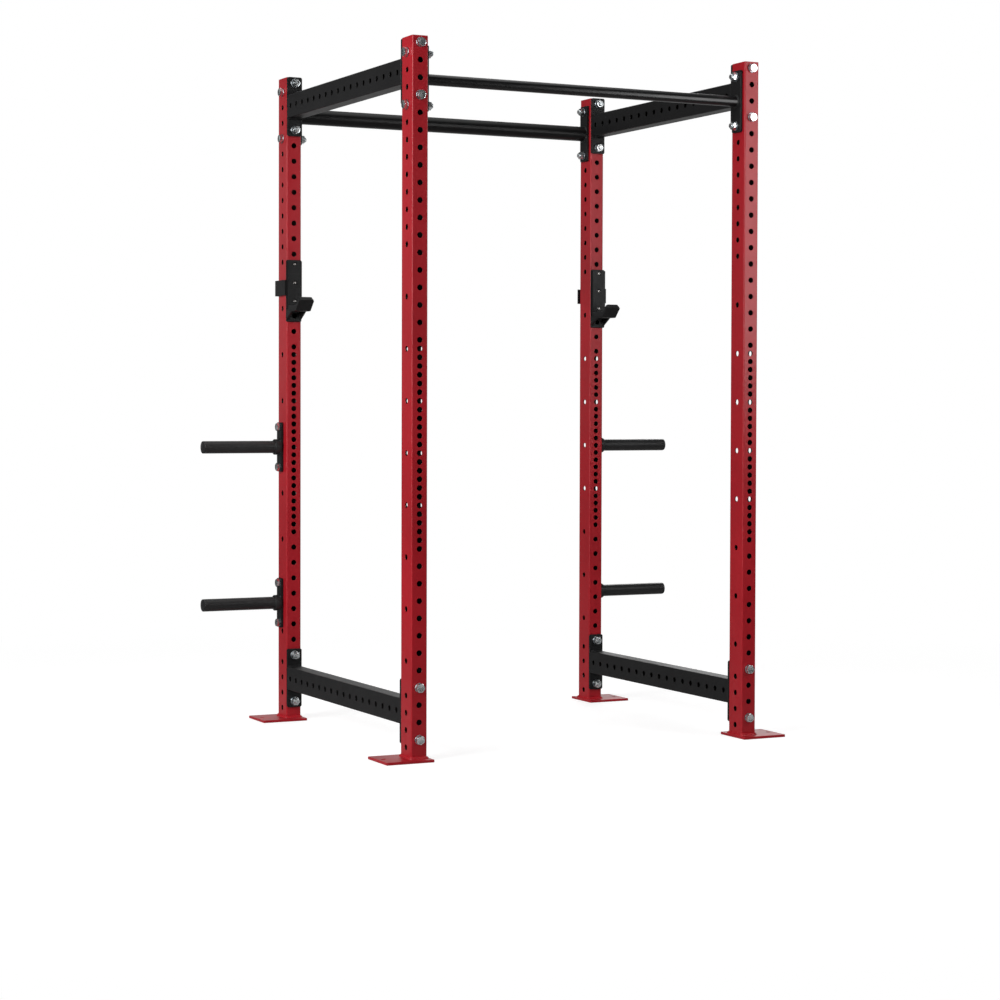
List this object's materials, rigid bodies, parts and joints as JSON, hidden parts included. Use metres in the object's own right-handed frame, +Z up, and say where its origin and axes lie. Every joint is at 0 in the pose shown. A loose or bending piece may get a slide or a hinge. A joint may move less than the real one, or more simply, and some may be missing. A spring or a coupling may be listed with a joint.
{
  "type": "power cage",
  "caption": "Four-post power cage with drilled uprights, side rails, two pull-up bars, plate storage pegs and a pair of hook-on barbell cups.",
  "frame": {"origin": "on the floor, at the middle of the four uprights", "axes": "X is the width, +X to the right seen from the front; -Y is the front, +Y the rear with the pegs and cups; +Z is up"},
  "size_m": [1.7106, 1.1294, 2.083],
  "materials": {
    "red_powder_coat": "semi-gloss powder coat",
    "black_powder_coat": "textured satin powder coat",
    "black_liner_plastic": "wear pad",
    "black_cap_plastic": "moulded",
    "zinc_plate": "bright zinc plate",
    "plain_steel": "plain"
  },
  "bodies": {
    "frame": {"foot_plate_front_left": "red_powder_coat", "foot_plate_front_right": "red_powder_coat", "foot_plate_rear_left": "red_powder_coat", "foot_plate_rear_right": "red_powder_coat", "frame_bolts": "zinc_plate", "frame_nuts": "zinc_plate", "front_pullup_bar": "black_powder_coat", "lower_peg_plate_left": "black_powder_coat", "lower_peg_plate_right": "black_powder_coat", "lower_peg_tube_left": "black_powder_coat", "lower_peg_tube_right": "black_powder_coat", "lower_rail_plate_front_left": "black_powder_coat", "lower_rail_plate_front_right": "black_powder_coat", "lower_rail_plate_rear_left": "black_powder_coat", "lower_rail_plate_rear_right": "black_powder_coat", "lower_side_rail_left": "black_powder_coat", "lower_side_rail_right": "black_powder_coat", "peg_bolts": "zinc_plate", "peg_collars": "black_powder_coat", "peg_end_caps": "black_cap_plastic", "peg_weld_nuts": "plain_steel", "pullup_plate_front_left": "black_powder_coat", "pullup_plate_front_right": "black_powder_coat", "pullup_plate_rear_left": "black_powder_coat", "pullup_plate_rear_right": "black_powder_coat", "rear_pullup_bar": "black_powder_coat", "upper_peg_plate_left": "black_powder_coat", "upper_peg_plate_right": "black_powder_coat", "upper_peg_tube_left": "black_powder_coat", "upper_peg_tube_right": "black_powder_coat", "upper_rail_plate_front_left": "black_powder_coat", "upper_rail_plate_front_right": "black_powder_coat", "upper_rail_plate_rear_left": "black_powder_coat", "upper_rail_plate_rear_right": "black_powder_coat", "upper_side_rail_left": "black_powder_coat", "upper_side_rail_right": "black_powder_coat", "upright_front_left": "red_powder_coat", "upright_front_right": "red_powder_coat", "upright_rear_left": "red_powder_coat", "upright_rear_right": "red_powder_coat", "washers": "zinc_plate"},
    "jcup_left": {"jcup_left_back_liner": "black_liner_plastic", "jcup_left_face_plate": "black_powder_coat", "jcup_left_gussets": "black_powder_coat", "jcup_left_hook": "black_powder_coat", "jcup_left_hook_liner": "black_liner_plastic", "jcup_left_liner_screws": "zinc_plate", "jcup_left_locating_pin": "black_powder_coat", "jcup_left_strap": "black_powder_coat"},
    "jcup_right": {"jcup_right_back_liner": "black_liner_plastic", "jcup_right_face_plate": "black_powder_coat", "jcup_right_gussets": "black_powder_coat", "jcup_right_hook": "black_powder_coat", "jcup_right_hook_liner": "black_liner_plastic", "jcup_right_liner_screws": "zinc_plate", "jcup_right_locating_pin": "black_powder_coat", "jcup_right_strap": "black_powder_coat"}
  },
  "joints": [
    {"name": "jcup_left_tilt", "type": "hinge", "parent": "frame", "child": "jcup_left", "pos_m": [-0.5584, 0.4572, 1.494], "axis": [-1, 0, 0], "range_deg": [0, 3.2]},
    {"name": "jcup_right_tilt", "type": "hinge", "parent": "frame", "child": "jcup_right", "pos_m": [0.5584, 0.4572, 1.494], "axis": [-1, 0, 0], "range_deg": [0, 3.2]}
  ]
}
